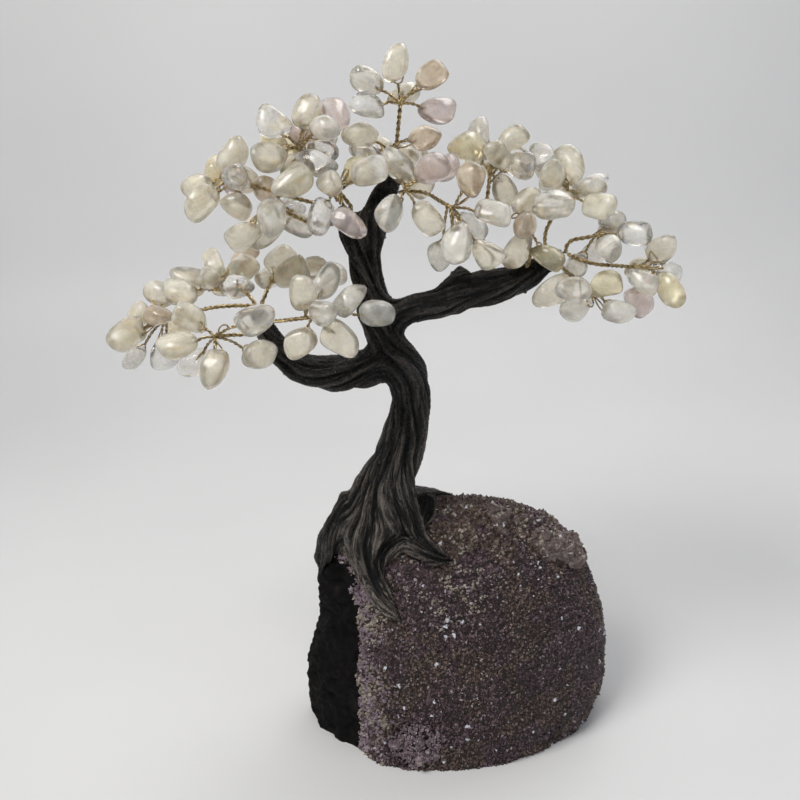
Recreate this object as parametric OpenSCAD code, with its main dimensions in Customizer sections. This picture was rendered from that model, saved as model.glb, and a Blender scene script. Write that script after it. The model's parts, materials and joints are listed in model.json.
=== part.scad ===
// Gemstone bonsai: a sculpted clay tree on a block of amethyst druse.
// The frame has its origin at the centre of the block's flat underside, +X to the
// right of the show face, +Y away from it and +Z up. Sizes are in millimetres.

/* [Block] */
// Width of the block's footprint
block_w = 148; // [140:1:156]
// Depth of the block's footprint
block_d = 90; // [84:1:96]
// Height of the block's crest
block_h = 122; // [120:1:124]
// Thickness of the druse crust on the show face
crust_t = 7; // [5:0.5:8]

/* [Tree] */
// Depth of the flowing grooves, as a share of the radius
groove = 0.09; // [0.04:0.01:0.12]
// Thickness factor of the clay
clay_k = 1; // [0.95:0.01:1.05]
// Radius of one armature wire
core_r = 1.4; // [1:0.1:1.6]

/* [Foliage] */
// Length of a typical stone along its twig
stone_l = 16.5; // [15:0.5:17]
// Width of a typical stone
stone_w = 13; // [12:0.5:13.5]
// Thickness of a typical stone
stone_t = 10.5; // [9:0.5:11]
// Share by which the stones' sizes differ
stone_spread = 0.12; // [0:0.01:0.15]
// Diameter of a twisted pair of wires
twig_d = 1.3; // [1:0.1:1.5]
// Clearance between a stem's foot and the clay
foot_gap = 0.6; // [0.4:0.1:1]

/* [Hidden] */

tube_sides = 12;      // sides of a clay limb
groove_count = 3;     // flowing grooves round a limb
groove_turn = 14;     // degrees that the grooves turn from one ring to the next
core_sides = 6;       // sides of an armature wire
core_gap = 3.6;       // spacing of the armature wires in the trunk
stem_sides = 5;       // sides of a spray's stem
stem_rings = 6;       // rings along a spray's stem
wire_sides = 4;       // sides of a twig
twig_share = 0.84;    // a twig's width as a share of its twisted pair's diameter
twig_bow = 0.06;      // rise of a twig's middle as a share of its length
leave_share = 0.35;   // how far a stem runs straight out, as a share of its span
arrive_share = 0.28;  // how far it runs straight into its hub, as a share of its span
stone_sides = 7;      // sides of a stone round its long axis
grip = 2.5;           // how far a twig's end reaches into its stone
cut_depth = 5;        // how far a cutter passes the block's underside

clay_colour = [0.16, 0.14, 0.13];
rock_colour = [0.10, 0.09, 0.09];
druse_colour = [0.36, 0.27, 0.31];
crystal_colour = [0.60, 0.48, 0.50];
brass_colour = [0.72, 0.58, 0.32];
stone_colour = [0.86, 0.84, 0.76];

// ---------------------------------------------------------------- block outline
// Footprint, anticlockwise from the ridge between the dark side and the druse face. Each
// point is [x, y, crust], where crust is 1 under the full crust and below 0 on bare rock
FOOTPRINT = [[-49, -25, 0], [-32, -34, 1], [-8, -40, 1], [20, -38, 1], [45, -29, 1],
    [64, -13, 1], [72, 8, 1], [66, 30, 0.6], [42, 42, -0.5], [5, 44, -0.5], [-30, 42, -0.5],
    [-60, 28, -0.5], [-73, 8, -0.5], [-67, -12, -0.5]];
// Size at which the footprint above is drawn
drawn_w = 148;
drawn_d = 90;
// Levels: height share, width share, depth share, shift right, shift back
LEVELS = [[0, 1, 1, 0, 0], [0.16, 1.05, 0.98, 4, 1], [0.33, 1.05, 0.95, 4, 3],
    [0.52, 0.99, 0.9, 7, 5], [0.68, 0.95, 0.82, 6, 8], [0.82, 0.9, 0.7, 4, 11],
    [0.91, 0.8, 0.54, 2, 12], [0.97, 0.6, 0.36, 2, 12], [0.995, 0.3, 0.16, 2, 12]];
// Fall of the crest at its right end, at fall_x from the middle
crest_fall = 14;
fall_x = 66;
// Height of the lumps in the block's sides
lump_h = 1.3;

// ---------------------------------------------------------------- clay routes
// Each point of a route is [x, y, z, radius]
TRUNK = [[-32, 2, 100, 17], [-31, -1, 114, 17.5], [-29, -4, 127, 17], [-26, -5, 139, 15.5],
    [-22, -4, 151, 12.5], [-17, -3, 163, 10.5], [-12, -2, 175, 9.5], [-10, -1, 187, 9.5],
    [-13, 0, 199, 9.5], [-20, 1, 211, 8], [-24, 2, 222, 7.5]];
ROOT_FRONT = [[-30, -8, 130, 12], [-36, -10, 114, 10], [-36.5, -13, 103, 8.2],
    [-33.5, -17.5, 95, 6], [-28.5, -23, 87, 4], [-22.5, -28, 79.5, 1.2]];
ROOT_RIGHT = [[-21, -8, 132, 10], [-15.5, -10, 119, 8], [-9, -16, 110.5, 6],
    [-1.5, -18, 106.5, 4], [7, -18, 105.2, 1.2]];
ROOT_LEFT = [[-38, -2, 130, 12], [-46, 2, 120, 10.5], [-54, 6, 109.5, 8.5],
    [-59.5, 8, 98, 5.5], [-62, 9, 86, 2]];
ROOT_BACK = [[-33, 8, 128, 12], [-38, 20, 118, 10], [-40, 31, 107, 8], [-41, 37, 92, 3]];
ROOT_REAR_RIGHT = [[-24, 6, 128, 11], [-12, 16, 121, 8.5], [0, 22, 118, 6], [10, 25, 117, 3]];
STUB = [[-15, -1, 117, 6.5], [-8, -2, 124, 5.6], [-5, -2, 130, 4.8], [-4, -2, 135, 4.5]];
LEFT = [[-13, 1, 199, 8], [-27, 0, 203, 8.5], [-40, -2, 201, 8.5], [-52, -4, 202, 7.5],
    [-62, -6, 206, 7], [-70, -7, 215, 6.2], [-75, -8, 226, 4.8], [-77, -8, 236, 3.2]];
CENTRE = [[-22, 1, 214, 7], [-25, 2, 227, 8], [-27, 3, 240, 7], [-28, 3, 252, 7.2],
    [-26, 3, 263, 8], [-21, 4, 274, 6.2], [-16, 4, 283, 4.6], [-13, 4, 289, 3.2]];
FORK = [[-29, 3, 256, 6], [-35, 2, 266, 5], [-37, 1, 279, 2.6]];
RIGHT = [[-22, 1, 222, 7], [-9, 0, 229, 7], [5, -1, 231, 6.8], [20, -2, 236, 8],
    [36, -3, 239, 7.4], [50, -4, 245, 5.2], [61, -5, 251, 3.4]];
SPUR = [[8, -1, 234, 5.5], [13, -2, 242, 4], [16, -2, 249, 2.4]];

// ---------------------------------------------------------------- sprays
// A spray is [name, limb route, place along it from 0 to 1, bearing and rise of the stem's
// foot in degrees, hub, stagger, stones]. The hub is where its twigs part. Stagger is the
// share of the stem over which they leave it. Each stone's centre is given from the hub.
SPRAYS = [
    ["left_low", LEFT, 0.93, 250, -20, [-95, -26, 229], 0,
        [[-11, 6, 7], [-15, -6, -1], [0, -10, -12], [-12, 6, -14], [18, 4, -11], [19, -4, 8]]],
    ["left_far", LEFT, 1, 190, 5, [-126, -4, 231], 0.3,
        [[-6, 8, 5], [3, 14, 10], [5, -4, 6], [-11, -9, -3], [-11, -3, -15], [2, 5, -17],
        [-14, 12, -8], [8, 17, -7]]],
    ["left_up", LEFT, 1, 150, 45, [-102, 8, 242], 0.3,
        [[-13, 7, 2], [-13, -9, 0], [1, -6, 6], [2, 10, 9], [15, 10, 7], [15, -7, 2],
        [18, 25, 6], [2, 22, -3], [-14, 22, -3], [3, 37, -6]]],
    ["left_right", LEFT, 0.9, 320, 10, [-52, -22, 234], 0.3,
        [[-6, -8, -9], [6, -11, 4], [12, -9, -8], [16, 9, 5], [27, 8, -2], [-3, 1, 11],
        [8, 14, 10]]],
    ["left_top", LEFT, 1, 50, 50, [-73, 14, 243], 0.3,
        [[5, 8, 7], [10, -7, 4], [20, 5, 4], [-6, 20, 0], [14, 20, -2], [28, 16, -3],
        [4, 38, -6], [20, 33, -6]]],
    ["fork_tip", FORK, 1, 150, 60, [-54, 2, 305], 0.3,
        [[-10, -4, 9], [7, 4, 13], [-14, -6, -5], [13, -7, 7], [18, 8, 9], [-4, 10, -10],
        [10, 9, -5], [8, -8, -8], [-12, 14, 2], [3, 19, 4],
        [-8, 32, -3], [10, 33, -2]]],
    ["fork_far", FORK, 0.85, 200, 20, [-85, -4, 294], 0.3,
        [[3, 6, 8], [-14, 4, -4], [-11, -8, -9], [-8, 16, 0], [7, -7, 1], [3, 3, -14],
        [16, 6, -7], [5, 20, -5], [-14, 19, -10], [-2, 34, -8]]],
    ["fork_low", FORK, 0.7, 230, 0, [-68, -10, 282], 0.3,
        [[-12, -4, -12], [2, -11, -4], [14, -5, 10], [13, 4, -10], [-3, 6, -13], [8, 19, -5]]],
    ["fork_front", FORK, 0.8, 300, 20, [-38, -10, 288], 0.3,
        [[-3, -8, 3], [-8, -5, -12], [5, -12, -14], [10, 8, 8], [16, -6, 6]]],
    ["crown", CENTRE, 1, 60, 80, [-8, 4, 320], 0,
        [[-14, 3, 10], [-1, 1, 16], [14, -2, 10], [-15, -6, -1], [16, 4, -6], [2, 16, 2]]],
    ["crown_low", CENTRE, 0.92, 130, 25, [-15, 16, 300], 0.3,
        [[-13, -12, 8], [18, -16, 6], [7, 8, -6], [-9, 8, -2], [13, 2, -16], [-3, 23, -2],
        [14, 25, -6]]],
    ["centre_front", CENTRE, 0.93, 300, 20, [-8, -14, 285], 0.3,
        [[-7, -7, -7], [9, -6, -13], [12, -3, 8], [-3, 8, 9], [18, 13, 8]]],
    ["middle_front", CENTRE, 0.84, 345, 0, [12, -18, 277], 0.3,
        [[6, -3, 13], [17, -4, -3], [7, 9, -11], [-1, -6, -13], [-6, 9, -22], [12, -7, -19]]],
    ["middle_back", RIGHT, 0.55, 80, 60, [32, 14, 292], 0.3,
        [[-5, 6, 11], [-11, -5, 7], [3, -11, 3], [10, 6, 7], [13, -3, -3], [7, -1, -14],
        [-4, 19, 0], [12, 20, -3], [2, 34, -5], [16, 33, -8]]],
    ["middle_right", RIGHT, 0.75, 280, 50, [43, -2, 269], 0.3,
        [[4, 6, 8], [14, -4, 5], [-2, -16, -1], [-3, -9, -14], [3, 9, -11], [10, -10, -20]]],
    ["right_back", RIGHT, 0.9, 90, 40, [67, 14, 277], 0.3,
        [[-12, 5, 14], [-12, -9, 6], [1, 8, 10], [8, -5, 1], [14, 12, 0], [-4, -12, -5],
        [12, -16, -7], [-6, 21, 2], [4, 34, -6], [-14, 20, -6]]],
    ["right_mid", RIGHT, 1, 60, 45, [78, -4, 259], 0.3,
        [[7, 9, 3], [14, -3, -1], [1, 10, -9], [3, -9, -8], [-10, 4, -13], [10, 24, -3]]],
    ["right_far", RIGHT, 1, 320, -15, [96, -6, 243], 0.3,
        [[11, 5, 7], [14, 8, -6], [12, -7, -10], [1, 5, -17], [-4, -11, -4], [4, 19, -5]]],
    ["right_low", RIGHT, 0.97, 270, -20, [71, -16, 238], 0.3,
        [[-10, -10, 2], [-5, 6, -10], [-17, 3, 3], [9, -1, 4], [12, -5, -9]]]
];

TREE_NODES = ["rock_matrix", "druse_crust", "crest_crystals", "lower_crystals", "trunk",
    "root_front", "root_right", "root_left", "root_back", "root_rear_right", "cut_stub",
    "limb_left", "limb_centre", "limb_fork", "limb_right", "limb_spur",
    "armature_left", "armature_centre", "armature_right"];

// ---------------------------------------------------------------- vector tools
function unit(v) = v / norm(v);
function xyz(p) = [p[0], p[1], p[2]];
function bearing(az, el) = [cos(az) * cos(el), sin(az) * cos(el), sin(el)];

// Point of a Catmull-Rom curve through the list P, with t from 0 to 1
function curve(P, t) =
    let (last = len(P) - 1, s = min(max(t, 0), 1) * last, i = min(floor(s), last - 1), f = s - i)
    let (a = P[max(i - 1, 0)], b = P[i], c = P[i + 1], d = P[min(i + 2, last)])
    0.5 * (2 * b + (c - a) * f + (2 * a - 5 * b + 4 * c - d) * f * f
        + (3 * b - a - 3 * c + d) * f * f * f);

// Point n of a closed Catmull-Rom curve through the outline P, with steps points a side
function outline_point(P, n, steps) =
    let (m = len(P), i = floor(n / steps), f = n / steps - i)
    let (a = P[(i + m - 1) % m], b = P[i % m], c = P[(i + 1) % m], d = P[(i + 2) % m])
    0.5 * (2 * b + (c - a) * f + (2 * a - 5 * b + 4 * c - d) * f * f
        + (3 * b - a - 3 * c + d) * f * f * f);

// Triangles between ring i and the next, where each ring has s points
function band_faces(i, s) = [for (k = [0:s - 1]) let (n = (k + 1) % s)
    each [[i * s + k, (i + 1) * s + k, (i + 1) * s + n], [i * s + k, (i + 1) * s + n, i * s + n]]];

// Faces of a skin over rings of s points each, closed at both ends
function skin_faces(rings, s) = concat(
    [[for (k = [0:s - 1]) k]],
    [[for (k = [s - 1:-1:0]) (rings - 1) * s + k]],
    [for (i = [0:rings - 2]) each band_faces(i, s)]);

// Ring of a tube at point i of the list P, each point [x, y, z, radius]
function ring(P, i, sides, ref, depth) =
    let (n = len(P), t = unit(xyz(P[min(i + 1, n - 1)] - P[max(i - 1, 0)])))
    let (u = unit(cross(ref, t)), v = cross(t, u))
    [for (k = [0:sides - 1])
        let (a = 360 * k / sides, lobe = cos(groove_count * (a + groove_turn * i)))
        xyz(P[i]) + P[i][3] * (1 + depth * lobe) * (cos(a) * u + sin(a) * v)];

// Closed tube along the list P
module tube(P, sides, ref = [0, 1, 0], depth = 0) {
    points = [for (i = [0:len(P) - 1]) each ring(P, i, sides, ref, depth)];
    polyhedron(points = points, faces = skin_faces(len(P), sides), convexity = 6);
}

// Grooved clay limb along a route of hand-set points
module clay(route) {
    steps = 2 * (len(route) - 1);
    P = [for (i = [0:steps]) let (p = curve(route, i / steps)) [p[0], p[1], p[2], p[3] * clay_k]];
    tube(P, tube_sides, depth = groove);
}

// ---------------------------------------------------------------- block
// Ring of points round the block at level L, grown sideways by side where the crust is
function block_ring(L, side, top, steps) = [for (k = [0:steps * len(FOOTPRINT) - 1])
    let (p = outline_point(FOOTPRINT, k, steps), r = norm([p[0], p[1]]))
    let (lump = lump_h * sin(67 * k + 260 * L[0]) * sin(31 * k - 400 * L[0]))
    let (grown = 1 + (lump + side * p[2]) / r)
    let (x = p[0] * grown * L[1] * block_w / drawn_w + L[3])
    [x, p[1] * grown * L[2] * block_d / drawn_d + L[4],
        top * L[0] - crest_fall * pow(max(x, 0) * L[0] / fall_x, 2)]];

// Skin of the block, with straight walls down to the depth foot below its underside
module block_skin(side, top, foot = 0) {
    steps = 2;
    above = [for (L = LEVELS) block_ring(L, side, top, steps)];
    below = [for (p = above[0]) [p[0], p[1], -foot]];
    rings = foot > 0 ? concat([below], above) : above;
    polyhedron(points = [for (r = rings) each r],
        faces = skin_faces(len(rings), steps * len(FOOTPRINT)), convexity = 6);
}

module crust_skin() {
    block_skin(crust_t, block_h);
}

module matrix_skin(foot = 0) {
    block_skin(0, block_h - crust_t, foot);
}

module rock_matrix() {
    color(rock_colour) matrix_skin();
}

module druse_crust() {
    color(druse_colour) difference() {
        crust_skin();
        matrix_skin(cut_depth);
    }
}

// Six-sided crystal standing at a point, leaning towards a bearing and rise
module crystal(at, az, el, r, length) {
    tip_r = 0.1;
    translate(at) rotate([0, 90 - el, az]) {
        cylinder(h = length, r = r, $fn = 6);
        translate([0, 0, length]) cylinder(h = r, r1 = r, r2 = tip_r, $fn = 6);
    }
}

// Knot of crystals that fan out round a point, each smaller than the last
module crystal_knot(at, az, el, r, length, count) {
    golden = 137;     // degrees from one crystal to the next
    fan = 22;         // degrees that the crystals lean apart
    spacing = 0.75;   // spacing as a share of the radius
    shrink = 0.06;
    for (i = [0:count - 1]) {
        turn = golden * i;
        crystal(at + spacing * r * sqrt(i) * [cos(turn), 0.5 * sin(turn), sin(turn)],
            az + fan * cos(turn), el + fan * sin(turn), r * (1 - shrink * i), length);
    }
}

module crest_crystals() {
    color(crystal_colour) {
        crystal_knot([65, 3, 96], -50, 38, 5, 6, 6);
        crystal_knot([51, -1, 101], -70, 50, 4, 5, 4);
        crystal_knot([30, 2, 114], -80, 60, 4, 6, 4);
    }
}

// Slab that trims a knot a little above the table
module below_table() {
    clear = 0.3;
    translate([-block_w, -block_w, clear - 2 * cut_depth])
        cube([2 * block_w, 2 * block_w, 2 * cut_depth]);
}

module lower_crystals() {
    color(crystal_colour) difference() {
        crystal_knot([-17, -38, 17], -98, 15, 7, 2, 6);
        matrix_skin(cut_depth);
        below_table();
    }
}

// ---------------------------------------------------------------- clay and armature
module armature_wire(route) {
    color(brass_colour) tube(route, core_sides);
}

// One armature wire runs up the trunk, beside the other two, and on into its limb
function core_route(tail, shift, limb, from, to) = [for (p = concat(
    [for (q = tail) q],
    [for (i = [2:9]) TRUNK[i] + [shift, 0, 0, 0]],
    [for (i = [from:to]) limb[i]])) [p[0], p[1], p[2], core_r]];

CORE_LEFT = core_route([[-46, -2, 121, 0]], -core_gap, LEFT, 2, 6);
CORE_CENTRE = core_route([[-34, -16, 118, 0]], 0, CENTRE, 1, 6);
CORE_RIGHT = core_route([[-14, -11, 121, 0]], core_gap, RIGHT, 1, 5);

module cores() {
    tube(CORE_LEFT, core_sides);
    tube(CORE_CENTRE, core_sides);
    tube(CORE_RIGHT, core_sides);
}

// Clay along a route, cut back from the rock, from the armature and from the clay below it
module fitted(route) {
    color(clay_colour) difference() {
        clay(route);
        children();
        cores();
    }
}

module rock_solid() {
    crust_skin();
    matrix_skin();
}

module trunk() {
    fitted(TRUNK) rock_solid();
}

module root_front() {
    fitted(ROOT_FRONT) {
        rock_solid();
        clay(TRUNK);
    }
}

module root_right() {
    fitted(ROOT_RIGHT) {
        rock_solid();
        clay(TRUNK);
        clay(ROOT_FRONT);
    }
}

module root_left() {
    fitted(ROOT_LEFT) {
        rock_solid();
        clay(TRUNK);
        clay(ROOT_FRONT);
    }
}

module root_back() {
    fitted(ROOT_BACK) {
        rock_solid();
        clay(TRUNK);
        clay(ROOT_LEFT);
    }
}

module root_rear_right() {
    fitted(ROOT_REAR_RIGHT) {
        rock_solid();
        clay(TRUNK);
        clay(ROOT_BACK);
    }
}

module cut_stub() {
    fitted(STUB) {
        rock_solid();
        clay(TRUNK);
        clay(ROOT_RIGHT);
        clay(ROOT_REAR_RIGHT);
    }
}

module limb_left() {
    fitted(LEFT) clay(TRUNK);
}

module limb_centre() {
    fitted(CENTRE) {
        clay(TRUNK);
        clay(LEFT);
    }
}

module limb_fork() {
    fitted(FORK) clay(CENTRE);
}

module limb_right() {
    fitted(RIGHT) {
        clay(TRUNK);
        clay(CENTRE);
    }
}

module limb_spur() {
    fitted(SPUR) clay(RIGHT);
}

// ---------------------------------------------------------------- sprays
// Every stone's centre as first set: [x, y, z, number of its spray]
STONES_SET = [for (j = [0:len(SPRAYS) - 1]) for (from_hub = SPRAYS[j][7])
    concat(SPRAYS[j][5] + from_hub, j)];
// Points of the limbs that stones keep clear of: [x, y, z, radius]
LIMB_POINTS = [for (route = [LEFT, CENTRE, FORK, RIGHT, SPUR]) for (i = [1:12])
    curve(route, i / 12)];
own_gap = 14.2;       // spacing of stones on one spray
other_gap = 16.4;     // spacing of stones on different sprays
limb_gap = 8.5;       // spacing of a stone's centre from a limb's surface
half = 0.5;           // share of a push that each of two crowded stones takes
MOVES = [0.7, 1.1, 0.7];    // how freely a stone moves along each axis, mostly in depth
settle_rounds = 14;

function total(V) = len(V) == 0 ? [0, 0, 0] : [for (v = V) 1] * V;
function push(p, q, gap) =
    let (d = xyz(p) - xyz(q), away = norm(d)) d * (gap - away) / away;

// Move each stone off the stones and limbs that crowd it
function settle(P, rounds) = rounds == 0 ? P : settle(
    [for (i = [0:len(P) - 1]) let (p = P[i])
        let (from_stones = total([for (j = [0:len(P) - 1])
            let (gap = P[j][3] == p[3] ? own_gap : other_gap)
            if (j != i && norm(xyz(P[j]) - xyz(p)) < gap) half * push(p, P[j], gap)]))
        let (from_limbs = total([for (q = LIMB_POINTS)
            if (norm(xyz(q) - xyz(p)) < q[3] + limb_gap) half * push(p, q, q[3] + limb_gap)]))
        let (move = from_stones + from_limbs)
        [for (n = [0:3]) n < 3 ? p[n] + MOVES[n] * move[n] : p[3]]], rounds - 1);

STONES = settle(STONES_SET, settle_rounds);
function stones_of(s) = [for (p = STONES) if (SPRAYS[p[3]][0] == s[0]) xyz(p)];

tip_gap = 0.4;        // extra clearance where a stem stands off the end of a limb

// Foot of a spray's stem: off the end of a limb if place is 1, or off its side
function foot(s) =
    let (p = curve(s[1], s[2]), along = unit(xyz(p - curve(s[1], s[2] - 0.05))))
    s[2] == 1 ? xyz(p) + (foot_gap + tip_gap) * along + half * p[3] * bearing(s[3], 0)
        : xyz(p) + (p[3] * clay_k * (1 + groove) + foot_gap) * bearing(s[3], s[4]);
function stem(s) =
    let (a = foot(s), b = s[5], span = norm(b - a))
    let (bend = a + bearing(s[3], s[4]) * span * leave_share)
    [a, bend, b - unit(b - bend) * span * arrive_share, b];

// Point of the stem at which twig i of count leaves it
function twig_from(s, route, i, count) = curve(route, 1 - s[6] * i / count);

// Closed tube along the bare points P, all of radius r
module wire(P, r, sides, ref) {
    tube([for (p = P) concat(p, r)], sides, ref);
}

module wires(s) {
    route = stem(s);
    centres = stones_of(s);
    count = len(centres);
    last = stem_rings - 1;
    color(brass_colour) {
        wire([for (i = [0:last]) curve(route, i / last)], twig_d / 2, stem_sides, [0.1, 0.3, 1]);
        for (i = [0:count - 1]) {
            from = twig_from(s, route, i, count);
            inner = centres[i] - unit(centres[i] - from) * (stone_l / 2 - grip);
            middle = (from + inner) / 2 + [0, 0, twig_bow * norm(inner - from)];
            in_depth = abs(unit(inner - from)[1]) > 0.8;
            wire([from, middle, inner], twig_d / 2 * twig_share, wire_sides,
                in_depth ? [1, 0, 0.1] : [0.1, 1, 0.1]);
        }
    }
}

// Tumbled stone: a blunt ellipsoid, narrower at its drilled end
module stone(l, w, t) {
    levels = [-68, -30, 12, 52];    // degrees of latitude of its rings
    blunt = 0.8;
    taper = 0.08;
    n = stone_sides;
    P = concat([[-l / 2, 0, 0]],
        [for (a = levels, k = [0:n - 1])
            let (b = 360 * k / n, girth = pow(cos(a), blunt))
            [l / 2 * sin(a), w / 2 * girth * (1 + taper * sin(a)) * cos(b),
                t / 2 * girth * sin(b)]],
        [[l / 2, 0, 0]]);
    last = len(P) - 1;
    bands = [for (i = [0:len(levels) - 2]) each band_faces(i, n)];
    faces = concat(
        [for (k = [0:n - 1]) [0, 1 + k, 1 + (k + 1) % n]],
        [for (f = bands) [for (v = f) v + 1]],
        [for (k = [0:n - 1]) [last, last - n + (k + 1) % n, last - n + k]]);
    polyhedron(points = P, faces = faces);
}

// The stones of a spray, each a little different in size, in proportions and in its turn
module stones(s) {
    centres = stones_of(s);
    count = len(centres);
    route = stem(s);
    mix = rands(-1, 1, 4 * count, 100 * s[5][0] + s[5][2]);
    uneven = 0.06;
    color(stone_colour) for (i = [0:count - 1]) {
        d = centres[i] - twig_from(s, route, i, count);
        k = 1 + stone_spread * mix[4 * i];
        translate(centres[i])
            rotate([0, -asin(d[2] / norm(d)), atan2(d[1], d[0])])
                rotate([90 + 60 * mix[4 * i + 1], 0, 50 * mix[4 * i + 2]])
                    stone(stone_l * k * (1 + uneven * mix[4 * i + 2]),
                        stone_w * k * (1 + uneven * mix[4 * i + 3]), stone_t * k);
    }
}

rock_matrix();
druse_crust();
crest_crystals();
lower_crystals();
trunk();
root_front();
root_right();
root_left();
root_back();
root_rear_right();
cut_stub();
limb_left();
limb_centre();
limb_fork();
limb_right();
limb_spur();
armature_wire(CORE_LEFT);  // armature_left
armature_wire(CORE_CENTRE);  // armature_centre
armature_wire(CORE_RIGHT);  // armature_right
for (s = SPRAYS) {
    wires(s);
    stones(s);
}
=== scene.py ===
"""Gemstone bonsai: tumbled quartz stones on twisted gilt wire, a sculpted clay tree and a
block of amethyst druse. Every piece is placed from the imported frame, in metres."""
import bmesh
import bpy
import json
import math
import numpy as np
from mathutils import Matrix, Vector, kdtree

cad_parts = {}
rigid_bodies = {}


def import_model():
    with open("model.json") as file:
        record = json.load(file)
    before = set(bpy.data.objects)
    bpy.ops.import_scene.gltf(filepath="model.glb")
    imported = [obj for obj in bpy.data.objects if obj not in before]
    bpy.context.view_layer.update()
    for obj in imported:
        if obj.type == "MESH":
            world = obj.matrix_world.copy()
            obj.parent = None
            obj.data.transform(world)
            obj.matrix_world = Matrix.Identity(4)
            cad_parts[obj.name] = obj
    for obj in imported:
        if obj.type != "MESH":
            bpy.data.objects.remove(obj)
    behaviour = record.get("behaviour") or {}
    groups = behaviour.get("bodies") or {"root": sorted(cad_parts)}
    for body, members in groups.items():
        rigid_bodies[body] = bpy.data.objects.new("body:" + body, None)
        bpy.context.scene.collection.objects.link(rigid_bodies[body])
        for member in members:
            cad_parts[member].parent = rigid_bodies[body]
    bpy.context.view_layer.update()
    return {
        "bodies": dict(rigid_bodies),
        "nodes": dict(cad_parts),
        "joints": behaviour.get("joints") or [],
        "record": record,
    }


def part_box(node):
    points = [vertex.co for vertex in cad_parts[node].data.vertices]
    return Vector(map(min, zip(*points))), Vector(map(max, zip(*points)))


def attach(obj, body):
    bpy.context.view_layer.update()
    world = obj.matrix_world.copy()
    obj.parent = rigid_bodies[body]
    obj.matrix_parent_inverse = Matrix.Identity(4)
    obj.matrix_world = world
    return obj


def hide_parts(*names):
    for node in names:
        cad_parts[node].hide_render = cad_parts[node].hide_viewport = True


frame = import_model()
MM = 0.001
ROOT = "block_and_tree"
JOINTS = {j["child"]: j for j in frame["joints"]}
SPRAYS = sorted(n[len("spray_"):] for n in frame["bodies"] if n.startswith("spray_"))
CLAY_NODES = [s["node"] for s in frame["record"]["subparts"] if s["material_slot"] == "clay"]

# ------------------------------------------------------------------ camera
EYE = (-0.016, -0.436, 0.349)       # where the camera stands, a little above the crown
LOOK_DOWN = 20.7                    # degrees below level
ROLL = 3.5                          # degrees
cam_data = bpy.data.cameras.new("camera")
cam_data.sensor_width = 36.0
cam_data.lens = 43.83
cam_data.clip_start = 0.01
camera = bpy.data.objects.new("camera", cam_data)
bpy.context.scene.collection.objects.link(camera)
camera.matrix_world = (Matrix.Translation(EYE)
                       @ Matrix.Rotation(math.radians(90 - LOOK_DOWN), 4, "X")
                       @ Matrix.Rotation(math.radians(-ROLL), 4, "Z"))
bpy.context.scene.camera = camera


# ------------------------------------------------------------------ mesh tools
WELD = 2e-6                         # vertices closer than this are one vertex


def unit(v):
    return v / np.maximum(np.linalg.norm(v, axis=-1, keepdims=True), 1e-12)


def node_mesh(name):
    """A CAD node's vertices, welded, and its triangles."""
    me = frame["nodes"][name].data
    me.calc_loop_triangles()
    co = np.zeros(len(me.vertices) * 3)
    me.vertices.foreach_get("co", co)
    co = co.reshape(-1, 3)
    tri = np.zeros(len(me.loop_triangles) * 3, int)
    me.loop_triangles.foreach_get("vertices", tri)
    _, first, back = np.unique(np.round(co / WELD).astype(int), axis=0,
                               return_index=True, return_inverse=True)
    tri = back.reshape(-1)[tri].reshape(-1, 3)
    ok = (tri[:, 0] != tri[:, 1]) & (tri[:, 1] != tri[:, 2]) & (tri[:, 2] != tri[:, 0])
    return co[first], tri[ok]


def neighbours(count, tri):
    """For each vertex, the set of vertices that share a triangle with it."""
    near = [set() for _ in range(count)]
    for a, b, c in tri:
        near[a].update((b, c))
        near[b].update((a, c))
        near[c].update((a, b))
    return near


def islands(near):
    """The connected sets of vertices."""
    seen = np.zeros(len(near), bool)
    out = []
    for start in range(len(near)):
        if seen[start] or not near[start]:
            continue
        seen[start] = True
        group, todo = [], [start]
        while todo:
            v = todo.pop()
            group.append(v)
            for w in near[v]:
                if not seen[w]:
                    seen[w] = True
                    todo.append(w)
        out.append(np.array(sorted(group)))
    return out


def add_mesh(name, verts, faces, smooth=True):
    me = bpy.data.meshes.new(name)
    me.from_pydata([tuple(v) for v in verts], [], [tuple(int(i) for i in f) for f in faces])
    me.update()
    if smooth:
        me.polygons.foreach_set("use_smooth", np.ones(len(me.polygons), bool))
    ob = bpy.data.objects.new(name, me)
    bpy.context.scene.collection.objects.link(ob)
    return ob


def set_attribute(ob, name, values):
    """Keeps one number, or three, for each vertex."""
    values = np.asarray(values, np.float32)
    if values.ndim == 1:
        ob.data.attributes.new(name, "FLOAT", "POINT").data.foreach_set("value", values)
    else:
        layer = ob.data.attributes.new(name, "FLOAT_VECTOR", "POINT")
        layer.data.foreach_set("vector", values.ravel())


def coords(ob):
    co = np.zeros(len(ob.data.vertices) * 3)
    ob.data.vertices.foreach_get("co", co)
    return co.reshape(-1, 3)


def set_coords(ob, co):
    ob.data.vertices.foreach_set("co", np.asarray(co, float).reshape(-1))
    ob.data.update()


def normals(ob):
    no = np.zeros(len(ob.data.vertices) * 3)
    ob.data.vertex_normals.foreach_get("vector", no)
    return no.reshape(-1, 3)


def remeshed(name, verts, faces, voxel):
    """A closed skin round the given surfaces, with its quads about voxel across."""
    src = add_mesh(name + "_src", verts, faces)
    mod = src.modifiers.new("remesh", "REMESH")
    mod.mode = "VOXEL"
    mod.voxel_size = voxel
    dg = bpy.context.evaluated_depsgraph_get()
    me = bpy.data.meshes.new_from_object(src.evaluated_get(dg), depsgraph=dg)
    bpy.data.objects.remove(src)
    me.name = name
    me.polygons.foreach_set("use_smooth", np.ones(len(me.polygons), bool))
    ob = bpy.data.objects.new(name, me)
    bpy.context.scene.collection.objects.link(ob)
    return ob


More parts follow.
